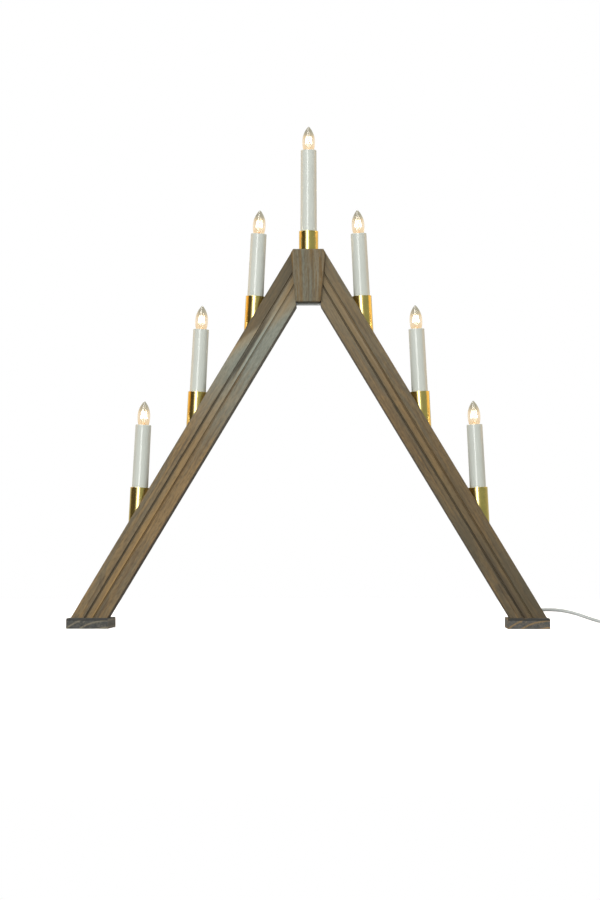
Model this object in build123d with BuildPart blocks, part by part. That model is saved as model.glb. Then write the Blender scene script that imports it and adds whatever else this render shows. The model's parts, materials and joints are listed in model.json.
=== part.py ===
from build123d import *
import os
from collections import namedtuple
from math import atan2, cos, degrees, hypot, pi, radians, sin, sqrt, tan

# An electric candle arch: two grooved wooden legs lean together on a key block and stand on
# foot plates. Brass sleeves let into legs and block carry candle tubes with screw bulbs.
# Millimetres and degrees, +Z up, the front faces -Y, the origin is under the middle on the floor.

os.makedirs("parts", exist_ok=True)

# Feet
overall_width = 508.0
foot_width = 44.0
foot_depth = 88.0
foot_height = 11.0
foot_chamfer = 2.0

# Legs
leg_lean = 31.1
leg_width = 34.0
leg_depth = 28.0
leg_inset = 1.5
leg_edge_radius = 0.8
bead_width = 7.9
bead_groove_width = 2.4

# Key block
block_shoulder_width = 37.3
block_bottom_width = 27.0
block_side_height = 52.2
block_crown_height = 4.2
block_proud = 4.0
block_edge_radius = 1.3
block_corner_radius = 2.2

# Candle seats
seat_tilt = 3.0
leg_seat_names = ("low", "middle", "high")
first_seat_distance = 160.0
last_seat_gap = 54.1
seat_proud = 1.0
centre_sleeve_proud = 20.6
wire_hole_diameter = 7.0

# Sleeves and candle tubes
sleeve_diameter = 20.6
sleeve_wall = 0.8
sleeve_length = 46.0
centre_sleeve_length = 26.0
sleeve_rim_chamfer = 0.3
candle_length = 113.0
candle_top_diameter = 16.8
candle_wall = 1.2
candle_lip = 1.5
candle_mouth_diameter = 12.0
candle_rim_chamfer = 0.6

# Lamp holders
shell_bore = 9.8
shell_wall = 0.3
shell_floor = 0.6
holder_floor = 2.5
holder_mouth_chamfer = 0.8

# Screw bulbs, heights taken from the top of the candle tube
cap_diameter = 9.3
cap_length = 9.5
cap_button_diameter = 4.0
cap_button_height = 1.4
glass_sink = 3.5
glass_neck_diameter = 8.8
glass_belly_diameter = 13.6
glass_belly_height = 9.0
glass_height = 25.2
glass_tip_radius = 1.2
glass_wall = 0.5
glass_foot = 1.0
stem_diameter = 3.0
stem_height = 5.0
filament_wire = 0.5
filament_span = 6.0
filament_height = 15.5
filament_shoulder = 3.0
filament_bend = 1.2

# Wiring
lead_diameter = 2.2
lead_slot_depth = 5.0
lead_bend_radius = 7.0

# Joinery
dowel_diameter = 8.0
dowel_length = 24.0
dowel_spread = 17.0
dowel_rise = 14.0
screw_diameter = 4.0
screw_head_diameter = 8.0
screw_head_height = 2.0
screw_length = 34.0
screw_recess = 0.6
screw_spread = 16.0
screw_inset = 4.0

# Mains lead: its exit from the right leg, its coil, tie and plug
cord_diameter = 3.6
cord_exit_height = 20.0
cord_exit_depth = 10.0
grommet_wall = 1.0
grommet_length = 8.0
grommet_flange_diameter = 10.0
grommet_flange_height = 1.6
grommet_nose = 6.0
coil_x = 350.0
coil_y = 14.0
coil_outer_radius = 27.2
coil_pitch = 4.25
coil_layer_turns = (2.75, 2.75, 2.5, 2.5)
tie_width = 8.0
tie_thickness = 0.8
tie_corner = 2.0
plug_entry_x = 388.0
plug_entry_y = 18.0
plug_thickness = 13.7
plug_tail_width = 10.0
plug_waist_width = 23.0
plug_waist_length = 14.0
plug_widest = 35.3
plug_widest_length = 24.0
plug_face_width = 27.0
plug_length = 34.0
plug_edge_radius = 2.0
plug_relief_length = 20.0
plug_relief_diameter = 5.6
plug_pin_diameter = 4.0
plug_pin_length = 19.0
plug_pin_spacing = 18.6

# Clearances
wood_clearance = 0.1
sleeve_clearance = 0.6
holder_clearance = 0.15
lamp_clearance = 0.3
lead_clearance = 0.2
tie_clearance = 0.5

# Places that follow from the sizes above
lean = radians(leg_lean)
tilt = radians(seat_tilt)
leg_foot_x = overall_width / 2 - leg_inset
leg_inner_foot_x = leg_foot_x - leg_width / cos(lean)
block_shoulder_z = foot_height + (leg_foot_x - block_shoulder_width / 2) / tan(lean)
block_bottom_z = block_shoulder_z - block_side_height
block_top_z = block_shoulder_z + block_crown_height
block_taper = (block_shoulder_width - block_bottom_width) / 2 / block_side_height
leg_length = (block_shoulder_z - foot_height) / cos(lean)
seat_spacing = (leg_length - first_seat_distance - last_seat_gap) / (len(leg_seat_names) - 1)
sleeve_radius = sleeve_diameter / 2
sleeve_bore_radius = sleeve_radius - sleeve_wall
candle_top_radius = candle_top_diameter / 2
candle_foot_radius = sleeve_bore_radius - sleeve_clearance
cap_floor = candle_length - glass_sink - cap_length
shell_floor_top = cap_floor - cap_button_height - lamp_clearance
shell_radius = shell_bore / 2 + shell_wall
holder_bottom = shell_floor_top - shell_floor - holder_floor
lead_slot_width = 2 * lead_diameter + 2 * lead_clearance
lead_offset = (lead_diameter + lead_clearance) / 2
cord_radius = cord_diameter / 2


def export(piece, name):
    """Label a finished piece and write it as its own file."""
    piece.label = name
    export_step(piece, f"parts/{name}.step")


def leg_point(along, across):
    """Point of the right leg: up its outer face from the foot, then inwards across its width."""
    x = leg_foot_x - along * sin(lean) - across * cos(lean)
    z = foot_height + along * cos(lean) - across * sin(lean)
    return x, z


def leg_plane(side, along, across, y):
    """Plane square to a leg, with its own X pointing out of the leg's outer face."""
    x, z = leg_point(along, across)
    up = (-side * sin(lean), 0, cos(lean))
    out = (side * cos(lean), 0, sin(lean))
    return Plane(origin=(side * x, y, z), x_dir=out, z_dir=up)


def block_half_width(z):
    """Half the key block's width at a height between its bottom and its shoulders."""
    return block_bottom_width / 2 + (z - block_bottom_z) * block_taper


# Candle seats: each has a floor plane whose Z axis is the candle's axis
Seat = namedtuple("Seat", "name side floor profile axis sleeve_length")


def make_seat(name, side, top, seat_sleeve_length):
    """Seat whose sleeve ends at a point, leaning towards the middle unless it is central."""
    axis_dir = Vector(-side * sin(tilt), 0, cos(tilt))
    across_dir = Vector(cos(tilt), 0, side * sin(tilt))
    floor_point = Vector(*top) - axis_dir * seat_sleeve_length
    floor = Plane(origin=floor_point, x_dir=across_dir, z_dir=axis_dir)
    profile = Plane(origin=floor_point, x_dir=across_dir, z_dir=-floor.y_dir)
    axis = Axis(floor_point, axis_dir)
    return Seat(name, side, floor, profile, axis, seat_sleeve_length)


def side_seat_top(side, distance):
    """Middle of a sleeve's rim, whose inner edge stands a little proud of the leg's outer face."""
    x, z = leg_point(distance, 0)
    x += sleeve_radius * cos(tilt) - seat_proud * sin(tilt)
    z += sleeve_radius * sin(tilt) + seat_proud * cos(tilt)
    return side * x, 0, z


seats = []
for side, side_name in ((-1, "left"), (1, "right")):
    for step, height_name in enumerate(leg_seat_names):
        rim = side_seat_top(side, first_seat_distance + step * seat_spacing)
        seats.append(make_seat(f"{side_name}_{height_name}", side, rim, sleeve_length))
centre_rim = (0, 0, block_top_z + centre_sleeve_proud)
seats.append(make_seat("centre", 0, centre_rim, centre_sleeve_length))


def slot_reach(seat, depth):
    """Distance from a side seat's floor down its axis to a depth inside the leg's inner face."""
    inner_x, inner_z = leg_point(0, leg_width - depth)
    face_point = Vector(seat.side * inner_x, 0, inner_z)
    normal = Vector(seat.side * cos(lean), 0, sin(lean))
    return (seat.floor.origin - face_point).dot(normal) / seat.floor.z_dir.dot(normal)


# Cord exit: a short bore from the lead slot into the right leg, and one from there to the back
exit_along = (cord_exit_height - foot_height + (leg_width - cord_exit_depth) * sin(lean)) / cos(lean)
exit_x, exit_z = leg_point(exit_along, leg_width - cord_exit_depth)
grommet_bore_radius = cord_radius + wood_clearance
grommet_radius = grommet_bore_radius + grommet_wall
exit_bore_radius = grommet_radius + wood_clearance

# Feet with chamfered front and back edges and countersunk screw holes
screw_x = (leg_foot_x + leg_inner_foot_x) / 2 - screw_inset
for side, side_name in ((-1, "left"), (1, "right")):
    with BuildPart() as foot:
        with BuildSketch():
            with Locations((side * (overall_width - foot_width) / 2, 0)):
                Rectangle(foot_width, foot_depth)
        extrude(amount=foot_height)
        chamfer(foot.faces().sort_by(Axis.Z)[-1].edges().filter_by(Axis.X), length=foot_chamfer)
        for y in (-screw_spread / 2, screw_spread / 2):
            with BuildSketch(Plane.XY):
                with Locations((side * screw_x, y)):
                    Circle(screw_head_diameter / 2 + wood_clearance)
            extrude(amount=screw_recess, mode=Mode.SUBTRACT)
            with BuildSketch(Plane.XY.offset(screw_recess)) as sink_mouth:
                with Locations((side * screw_x, y)):
                    Circle(screw_head_diameter / 2 + wood_clearance)
            with BuildSketch(Plane.XY.offset(screw_recess + screw_head_height)) as sink_root:
                with Locations((side * screw_x, y)):
                    Circle(screw_diameter / 2 + wood_clearance)
            loft(mode=Mode.SUBTRACT)
            with BuildSketch(Plane.XY):
                with Locations((side * screw_x, y)):
                    Circle(screw_diameter / 2 + wood_clearance)
            extrude(amount=foot_height, mode=Mode.SUBTRACT)
    export(foot.part, f"{side_name}_foot")

# Countersunk screws from below into the legs
with BuildPart() as foot_screws:
    for x in (-screw_x, screw_x):
        for y in (-screw_spread / 2, screw_spread / 2):
            with BuildSketch(Plane(origin=(x, y, screw_recess), x_dir=(1, 0, 0), z_dir=(0, -1, 0))):
                with BuildLine():
                    Polyline(
                        (0, 0),
                        (screw_head_diameter / 2, 0),
                        (screw_diameter / 2, screw_head_height),
                        (screw_diameter / 2, screw_length - screw_diameter),
                        (0, screw_length),
                        close=True,
                    )
                make_face()
            revolve(axis=Axis((x, y, 0), (0, 0, 1)))
export(foot_screws.part, "foot_screws")

# Dowel places on the block's sloping sides, shared by dowels, block and legs
dowel_z = block_bottom_z + dowel_rise
side_normal = hypot(1, block_taper)


def dowel_planes(side):
    """Planes on one side of the key block, facing away from it, one for each dowel."""
    outward = (side / side_normal, 0, -block_taper / side_normal)
    x = side * block_half_width(dowel_z)
    return [
        Plane(origin=(x, y, dowel_z), x_dir=(0, 1, 0), z_dir=outward)
        for y in (-dowel_spread / 2, dowel_spread / 2)
    ]


with BuildPart() as apex_dowels:
    for plane in dowel_planes(-1) + dowel_planes(1):
        with BuildSketch(plane):
            Circle(dowel_diameter / 2)
        extrude(amount=dowel_length / 2, both=True)
export(apex_dowels.part, "apex_dowels")

# Legs: mitred onto the block's sides, beaded in front, slotted behind for the leads
mitre_z = (
    leg_inner_foot_x + foot_height * tan(lean) - block_bottom_width / 2 + block_taper * block_bottom_z
) / (tan(lean) + block_taper)
for side, side_name in ((-1, "left"), (1, "right")):
    leg_seats = [seat for seat in seats if seat.side == side]
    with BuildPart() as leg:
        with BuildSketch(Plane.XZ):
            with BuildLine():
                Polyline(
                    (side * leg_foot_x, foot_height),
                    (side * block_shoulder_width / 2, block_shoulder_z),
                    (side * block_half_width(mitre_z), mitre_z),
                    (side * leg_inner_foot_x, foot_height),
                    close=True,
                )
            make_face()
        extrude(amount=leg_depth / 2, both=True)
        leg_direction = Axis((0, 0, 0), (-side * sin(lean), 0, cos(lean)))
        fillet(leg.edges().filter_by(leg_direction), radius=leg_edge_radius)
        # Half-round grooves on both sides of the bead
        for across in ((leg_width - bead_width) / 2, (leg_width + bead_width) / 2):
            with BuildSketch(leg_plane(side, leg_length / 2, across, -leg_depth / 2)):
                Circle(bead_groove_width / 2)
            extrude(amount=leg_length, both=True, mode=Mode.SUBTRACT)
        # Stepped seats: a bore for the sleeve and a narrow hole on to the lead slot
        for seat in leg_seats:
            with BuildSketch(seat.floor):
                Circle(sleeve_radius + wood_clearance)
            extrude(amount=sleeve_length + sleeve_diameter, mode=Mode.SUBTRACT)
            with BuildSketch(seat.floor):
                Circle(wire_hole_diameter / 2)
            extrude(amount=-slot_reach(seat, 0) - wire_hole_diameter, mode=Mode.SUBTRACT)
        # Lead slot in the inner face, from the lowest seat or the cord exit up to the block
        slot_drop = slot_reach(leg_seats[0], 0)
        lowest = leg_seats[0].floor.origin - leg_seats[0].floor.z_dir * slot_drop
        lowest_along = (lowest.Z - foot_height + leg_width * sin(lean)) / cos(lean)
        slot_start = exit_along if side > 0 else lowest_along
        with BuildSketch(leg_plane(side, slot_start, leg_width, 0)):
            Rectangle(2 * lead_slot_depth, lead_slot_width)
        extrude(amount=leg_length, mode=Mode.SUBTRACT)
        for plane in dowel_planes(side):
            with BuildSketch(plane):
                Circle(dowel_diameter / 2 + wood_clearance)
            extrude(amount=dowel_length / 2 + wood_clearance, mode=Mode.SUBTRACT)
        for y in (-screw_spread / 2, screw_spread / 2):
            with BuildSketch(Plane.XY.offset(foot_height)):
                with Locations((side * screw_x, y)):
                    Circle(screw_diameter / 2 + wood_clearance)
            extrude(amount=screw_recess + screw_length - foot_height, mode=Mode.SUBTRACT)
        if side > 0:
            with BuildSketch(Plane(origin=(exit_x, 0, exit_z), x_dir=(1, 0, 0), z_dir=(0, 1, 0))):
                Circle(exit_bore_radius)
            extrude(amount=leg_depth, mode=Mode.SUBTRACT)
            inward = (-cos(lean), 0, -sin(lean))
            with BuildSketch(Plane(origin=(exit_x, 0, exit_z), x_dir=(0, 1, 0), z_dir=inward)):
                Circle(exit_bore_radius)
            extrude(amount=cord_exit_depth + exit_bore_radius, mode=Mode.SUBTRACT)
    export(leg.part, f"{side_name}_leg")

# Key block: tapered sides, top corners cut in line with the legs, flush with them behind
block_top_half = block_shoulder_width / 2 - block_crown_height * tan(lean)
block_front_y = -leg_depth / 2 - block_proud
with BuildPart() as key_block:
    with BuildSketch(Plane.XZ.offset(-block_front_y)):
        with BuildLine():
            Polyline(
                (-block_bottom_width / 2, block_bottom_z),
                (-block_shoulder_width / 2, block_shoulder_z),
                (-block_top_half, block_top_z),
                (block_top_half, block_top_z),
                (block_shoulder_width / 2, block_shoulder_z),
                (block_bottom_width / 2, block_bottom_z),
                close=True,
            )
        make_face()
    extrude(amount=-(leg_depth + block_proud))
    lower_corners = key_block.edges().filter_by(Axis.Y).sort_by(Axis.Z)[:2]
    fillet(lower_corners, radius=block_corner_radius)
    fillet(key_block.faces().sort_by(Axis.Y)[0].edges(), radius=block_edge_radius)
    centre_floor = seats[-1].floor
    with BuildSketch(centre_floor):
        Circle(sleeve_radius + wood_clearance)
    extrude(amount=centre_sleeve_length, mode=Mode.SUBTRACT)
    with BuildSketch(centre_floor):
        Circle(wire_hole_diameter / 2)
    extrude(amount=-block_side_height - block_crown_height, mode=Mode.SUBTRACT)
    for plane in dowel_planes(-1) + dowel_planes(1):
        with BuildSketch(plane):
            Circle(dowel_diameter / 2 + wood_clearance)
        extrude(amount=-dowel_length / 2 - wood_clearance, mode=Mode.SUBTRACT)
export(key_block.part, "key_block")


def turned(seat, outline):
    """Piece turned about a seat's axis from points of radius and height above the seat's floor."""
    with BuildPart() as piece:
        with BuildSketch(seat.profile):
            with BuildLine():
                Polyline(*outline, close=True)
            make_face()
        revolve(axis=seat.axis)
    return piece.part


def sleeve(seat):
    """Brass tube with a broken edge at its rim."""
    height = seat.sleeve_length
    return turned(
        seat,
        [
            (sleeve_bore_radius, 0),
            (sleeve_radius, 0),
            (sleeve_radius, height - sleeve_rim_chamfer),
            (sleeve_radius - sleeve_rim_chamfer, height),
            (sleeve_bore_radius, height),
        ],
    )


def candle(seat):
    """Tapered tube, open below, with an inward lip round the bulb."""
    bore_top = candle_top_radius - candle_wall
    return turned(
        seat,
        [
            (candle_foot_radius - candle_wall, 0),
            (candle_foot_radius, 0),
            (candle_top_radius, candle_length - candle_rim_chamfer),
            (candle_top_radius - candle_rim_chamfer, candle_length),
            (candle_mouth_diameter / 2, candle_length),
            (candle_mouth_diameter / 2, candle_length - candle_lip),
            (bore_top, candle_length - candle_lip),
        ],
    )


def holder(seat):
    """Insulating cup under the candle's lip, bored for the screw shell and countersunk for the glass."""
    outer = candle_top_radius - candle_wall - holder_clearance
    bore = shell_radius + wood_clearance
    top = candle_length - candle_lip
    return turned(
        seat,
        [
            (0, holder_bottom),
            (outer, holder_bottom),
            (outer, top),
            (bore + holder_mouth_chamfer, top),
            (bore, top - holder_mouth_chamfer),
            (bore, holder_bottom + holder_floor),
            (0, holder_bottom + holder_floor),
        ],
    )


def screw_shell(seat):
    """Thin brass cup in the holder, with the centre contact as its floor."""
    top = candle_length - glass_sink
    return turned(
        seat,
        [
            (0, shell_floor_top - shell_floor),
            (shell_radius, shell_floor_top - shell_floor),
            (shell_radius, top),
            (shell_bore / 2, top),
            (shell_bore / 2, shell_floor_top),
            (0, shell_floor_top),
        ],
    )


def bulb_cap(seat):
    """Screw cap with its sloping insulator and contact button."""
    slope = (cap_diameter - cap_button_diameter) / 4
    return turned(
        seat,
        [
            (0, cap_floor - cap_button_height),
            (cap_button_diameter / 2, cap_floor - cap_button_height),
            (cap_button_diameter / 2 + slope, cap_floor),
            (cap_diameter / 2, cap_floor + slope),
            (cap_diameter / 2, candle_length - glass_sink),
            (0, candle_length - glass_sink),
        ],
    )


def glass_outline(inset, foot):
    """Half outline of the olive: two arcs that meet at the belly, and a small ball at the tip."""
    neck = (glass_neck_diameter / 2 - inset, candle_length - glass_sink + foot)
    belly_radius = glass_belly_diameter / 2 - inset
    belly_z = candle_length + glass_belly_height
    tip_radius = glass_tip_radius - inset
    tip_z = candle_length + glass_height - glass_tip_radius
    rise = tip_z - belly_z
    shoulder_radius = (belly_radius**2 + rise**2 - tip_radius**2) / (2 * (belly_radius - tip_radius))
    shoulder_x = belly_radius - shoulder_radius
    tip_angle = atan2(rise, -shoulder_x)
    tip = (tip_radius * cos(tip_angle), tip_z + tip_radius * sin(tip_angle))
    TangentArc((belly_radius, belly_z), neck, tangent=(0, -1))
    TangentArc((belly_radius, belly_z), tip, tangent=(0, 1))
    CenterArc((0, tip_z), tip_radius, degrees(tip_angle), 90 - degrees(tip_angle))
    Polyline(neck, (0, neck[1]), (0, tip_z + tip_radius))


def bulb_glass(seat):
    """Hollow olive of thin glass, closed at its foot."""
    with BuildPart() as piece:
        with BuildSketch(seat.profile):
            with BuildLine():
                glass_outline(0, 0)
            make_face()
        revolve(axis=seat.axis)
        with BuildSketch(seat.profile):
            with BuildLine():
                glass_outline(glass_wall, glass_foot)
            make_face()
        revolve(axis=seat.axis, mode=Mode.SUBTRACT)
    return piece.part


def filament(seat):
    """Glass stem on the bulb's foot with two posts and the glowing wire bent between them."""
    foot = candle_length - glass_sink + glass_foot
    shoulder = candle_length + filament_height - filament_shoulder
    post_foot = filament_span / 4
    with BuildPart() as piece:
        with BuildSketch(seat.profile):
            with Locations((0, foot)):
                Rectangle(stem_diameter / 2, stem_height, align=(Align.MIN, Align.MIN))
        revolve(axis=seat.axis)
        with BuildLine(seat.profile) as wire:
            FilletPolyline(
                (-post_foot, foot + stem_height / 2),
                (-filament_span / 2, shoulder),
                (0, candle_length + filament_height),
                (filament_span / 2, shoulder),
                (post_foot, foot + stem_height / 2),
                radius=filament_bend,
            )
        with BuildSketch(Plane(origin=wire.line @ 0, z_dir=wire.line % 0)):
            Circle(filament_wire / 2)
        sweep(path=wire.line)
    return piece.part


for seat in seats:
    export(sleeve(seat), f"sleeve_{seat.name}")
    export(candle(seat), f"candle_{seat.name}")
    export(holder(seat), f"holder_{seat.name}")
    export(bulb_cap(seat), f"bulb_cap_{seat.name}")
    export(bulb_glass(seat), f"bulb_glass_{seat.name}")
    export(filament(seat), f"filament_{seat.name}")
export(Compound(children=[screw_shell(seat) for seat in seats]), "holder_shells")

# Leads up each seat to its holder: they start clear of the leads along the legs
with BuildPart() as seat_leads:
    for seat in seats:
        if seat.side:
            lead_start = -slot_reach(seat, lead_slot_depth) + lead_diameter
        else:
            lead_start = block_bottom_z - seat.floor.origin.Z + lead_clearance
        with BuildSketch(seat.floor.offset(lead_start)):
            with GridLocations(0, 2 * lead_offset, 1, 2):
                Circle(lead_diameter / 2)
        extrude(amount=holder_bottom - lead_start)
export(seat_leads.part, "seat_leads")

# Leads along both legs, passing from one slot to the other under the block
lead_across = leg_width - lead_slot_depth + lead_diameter / 2 + lead_clearance
crossing_z = block_bottom_z - lead_diameter / 2 - lead_clearance
crossing_along = (crossing_z - foot_height + lead_across * sin(lean)) / cos(lean)
crossing_x, _ = leg_point(crossing_along, lead_across)
right_lead_x, right_lead_z = leg_point(exit_along + exit_bore_radius, lead_across)
left_lead_x, left_lead_z = leg_point(lowest_along + wire_hole_diameter / 2, lead_across)
with BuildPart() as leg_leads:
    for y in (-lead_offset, lead_offset):
        with BuildLine() as lead_line:
            FilletPolyline(
                (-left_lead_x, y, left_lead_z),
                (-crossing_x, y, crossing_z),
                (crossing_x, y, crossing_z),
                (right_lead_x, y, right_lead_z),
                radius=lead_bend_radius,
            )
        with BuildSketch(Plane(origin=lead_line.line @ 0, z_dir=lead_line.line % 0)):
            Circle(lead_diameter / 2)
        sweep(path=lead_line.line)
export(leg_leads.part, "leg_leads")

# Grommet with a tapered nose in the bore behind the right leg
leg_back_y = leg_depth / 2
with BuildPart() as cord_grommet:
    with BuildSketch(Plane(origin=(exit_x, leg_back_y, exit_z), x_dir=(1, 0, 0), z_dir=(0, 0, 1))):
        with BuildLine():
            Polyline(
                (grommet_bore_radius, -grommet_length),
                (grommet_radius, -grommet_length),
                (grommet_radius, 0),
                (grommet_flange_diameter / 2, 0),
                (grommet_flange_diameter / 2, grommet_flange_height),
                (grommet_radius + grommet_wall, grommet_flange_height),
                (grommet_radius, grommet_flange_height + grommet_nose),
                (grommet_bore_radius, grommet_flange_height + grommet_nose),
                close=True,
            )
        make_face()
    revolve(axis=Axis((exit_x, 0, exit_z), (0, 1, 0)))
export(cord_grommet.part, "cord_grommet")

# Coil of the put-away lead: spirals in and out by layers, climbing in each reversing half turn
coil_inner_radius = coil_outer_radius - max(coil_layer_turns) * coil_pitch
coil_bottom_z = tie_thickness + tie_clearance + cord_radius
coil_layers = len(coil_layer_turns)
coil_turns = sum(coil_layer_turns) + (coil_layers - 1) / 2


def coil_radius_and_height(turn):
    """Radius and height of the lead's middle after a number of turns from the outside below."""
    radius = coil_outer_radius
    inwards = -1
    for layer, layer_turns in enumerate(coil_layer_turns):
        height = coil_bottom_z + layer * coil_pitch
        if turn <= layer_turns or layer == coil_layers - 1:
            return radius + inwards * coil_pitch * turn, height
        turn -= layer_turns
        radius += inwards * coil_pitch * layer_turns
        if turn <= 0.5:
            rise = 2 * turn
            swing = turn - 2 * turn**2
            return radius + inwards * coil_pitch * swing, height + coil_pitch * rise**2 * (3 - 2 * rise)
        turn -= 0.5
        inwards = -inwards


def coil_point(turn):
    """Point on the lead's middle line, starting behind the coil's middle and heading for +X."""
    radius, height = coil_radius_and_height(turn)
    angle = 2 * pi * turn
    return Vector(coil_x + radius * sin(angle), coil_y + radius * cos(angle), height)


def coil_direction(turn):
    """Unit direction of the lead, from two points close by."""
    step = 1e-4
    first = max(turn - step, 0)
    last = min(turn + step, coil_turns)
    return (coil_point(last) - coil_point(first)).normalized()


def biarc(start, start_dir, end, end_dir):
    """Two arcs that leave and arrive in the given directions."""
    span = end - start
    both = start_dir + end_dir
    square = 2 * (start_dir.dot(end_dir) - 1)
    linear = -2 * span.dot(both)
    reach = (-linear - sqrt(linear**2 - 4 * square * span.length**2)) / (2 * square)
    leave = start + start_dir * reach
    arrive = end - end_dir * reach
    middle = (leave + arrive) * 0.5
    TangentArc(start, middle, tangent=start_dir)
    TangentArc(middle, end, tangent=arrive - leave)


plug_entry = Vector(plug_entry_x, plug_entry_y, plug_thickness / 2)
plug_direction = Vector(0, -1, 0)
coil_start_dir = coil_direction(0)
coil_start = coil_point(0) - coil_start_dir * cord_diameter
quarter_turns = round(4 * coil_turns)
with BuildPart() as cord_coil:
    with BuildLine() as coil_line:
        Line(coil_start, coil_point(0))
        for quarter in range(quarter_turns):
            biarc(
                coil_point(quarter / 4),
                coil_direction(quarter / 4),
                coil_point((quarter + 1) / 4),
                coil_direction((quarter + 1) / 4),
            )
        tail_end = plug_entry - plug_direction * cord_diameter
        biarc(coil_point(coil_turns), coil_direction(coil_turns), tail_end, plug_direction)
        Line(tail_end, plug_entry)
    with BuildSketch(Plane(origin=coil_start, z_dir=coil_start_dir)):
        Circle(cord_radius)
    sweep(path=coil_line.line)
export(cord_coil.part, "cord_coil")

samples_per_turn = 48
samples = [coil_point(i / samples_per_turn) for i in range(round(coil_turns * samples_per_turn) + 1)]
coil_gap = min(
    (a - b).length - cord_diameter
    for i, a in enumerate(samples)
    for b in samples[i + samples_per_turn // 2 :]
)
coil_length = coil_line.wire().length

# Free stretch of the lead from inside the leg round its back and down to the coil
cord_corner_share = 0.45
cord_inner_y = leg_back_y - grommet_length - cord_diameter
landing_run = 22.0
cord_route = [
    Vector(exit_x, cord_inner_y, exit_z),
    Vector(exit_x, 28.5, exit_z),
    Vector(226.2, 40.5, 19.6),
    Vector(238.5, 47.2, 19.7),
    Vector(260.0, 47.9, 20.8),
    Vector(282.0, 46.6, 17.4),
    Vector(303.5, 44.4, 8.4),
    coil_start - coil_start_dir * landing_run,
    coil_start,
]
cord_radii = []
for before, corner, after in zip(cord_route, cord_route[1:], cord_route[2:]):
    run_in = corner - before
    run_out = after - corner
    half_turn = radians(run_in.get_angle(run_out)) / 2
    cord_radii.append(cord_corner_share * min(run_in.length, run_out.length) / tan(half_turn))
with BuildPart() as mains_cord:
    with BuildLine() as cord_line:
        FilletPolyline(*cord_route, radius=cord_radii)
    with BuildSketch(Plane(origin=cord_line.line @ 0, z_dir=cord_line.line % 0)):
        Circle(cord_radius)
    sweep(path=cord_line.line)
export(mains_cord.part, "mains_cord")

# Tie round the bundle of turns in front of the coil's middle
bundle_outer = coil_outer_radius + cord_radius + tie_clearance
bundle_inner_edge = coil_inner_radius - cord_radius
bundle_inner = sqrt(bundle_inner_edge**2 - (tie_width / 2) ** 2) - tie_clearance
bundle_height = (coil_layers - 1) * coil_pitch + cord_diameter + 2 * tie_clearance
bundle_width = bundle_outer - bundle_inner
tie_middle_y = coil_y - (bundle_outer + bundle_inner) / 2
with BuildPart() as coil_tie:
    with BuildSketch(Plane.YZ.offset(coil_x - tie_width / 2)):
        with Locations((tie_middle_y, tie_thickness + bundle_height / 2)):
            outer_size = (bundle_width + 2 * tie_thickness, bundle_height + 2 * tie_thickness)
            RectangleRounded(*outer_size, tie_corner)
            inner_corner = tie_corner - tie_thickness
            RectangleRounded(bundle_width, bundle_height, inner_corner, mode=Mode.SUBTRACT)
    extrude(amount=tie_width)
export(coil_tie.part, "coil_tie")

# Flat two-pin plug lying on the floor, its pins away from the lead
plug_plane = Plane(origin=(plug_entry_x, plug_entry_y - plug_relief_length, 0), x_dir=(1, 0, 0))
plug_face_y = plug_entry_y - plug_relief_length - plug_length
with BuildPart() as plug_body:
    with BuildSketch(plug_plane):
        with BuildLine():
            Polyline(
                (-plug_tail_width / 2, 0),
                (-plug_waist_width / 2, -plug_waist_length),
                (-plug_widest / 2, -plug_widest_length),
                (-plug_face_width / 2, -plug_length),
                (plug_face_width / 2, -plug_length),
                (plug_widest / 2, -plug_widest_length),
                (plug_waist_width / 2, -plug_waist_length),
                (plug_tail_width / 2, 0),
                close=True,
            )
        make_face()
    extrude(amount=plug_thickness)
    flat_faces = plug_body.faces().filter_by(Axis.Z)
    fillet(flat_faces.edges(), radius=plug_edge_radius)
    relief_plane = Plane(origin=plug_entry, x_dir=(1, 0, 0), z_dir=(0, -1, 0))
    with BuildSketch(relief_plane):
        Circle(plug_relief_diameter / 2)
    with BuildSketch(relief_plane.offset(plug_relief_length)):
        Circle(plug_tail_width / 2 - plug_edge_radius / 2)
    loft()
export(plug_body.part, "plug_body")

with BuildPart() as plug_pins:
    with BuildSketch(Plane(origin=(plug_entry_x, plug_face_y, plug_thickness / 2), z_dir=(0, -1, 0))):
        with GridLocations(0, plug_pin_spacing, 1, 2):
            Circle(plug_pin_diameter / 2)
    extrude(amount=plug_pin_length)
    pin_tips = plug_pins.faces().sort_by(Axis.Y)[:2]
    chamfer(ShapeList(pin_tips).edges(), length=plug_pin_diameter / 4)
export(plug_pins.part, "plug_pins")

cord_length = cord_line.wire().length
print("cord corner radii:", [round(radius, 1) for radius in cord_radii])
print("cord lengths, free and coiled:", round(cord_length, 1), round(coil_length, 1))
print("coil turns:", coil_turns, "least gap:", round(coil_gap, 2))
tube_volume = pi * cord_radius**2
print("free tube volume ratio:", round(mains_cord.part.volume / (tube_volume * cord_length), 4))
print("coil volume ratio:", round(cord_coil.part.volume / (tube_volume * coil_length), 4))
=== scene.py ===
import json
from math import atan2, cos, hypot, pi, radians, sin, tau

import bmesh
import bpy
from bpy.props import FloatProperty, FloatVectorProperty, IntProperty, PointerProperty
from mathutils import Matrix, Vector

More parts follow.
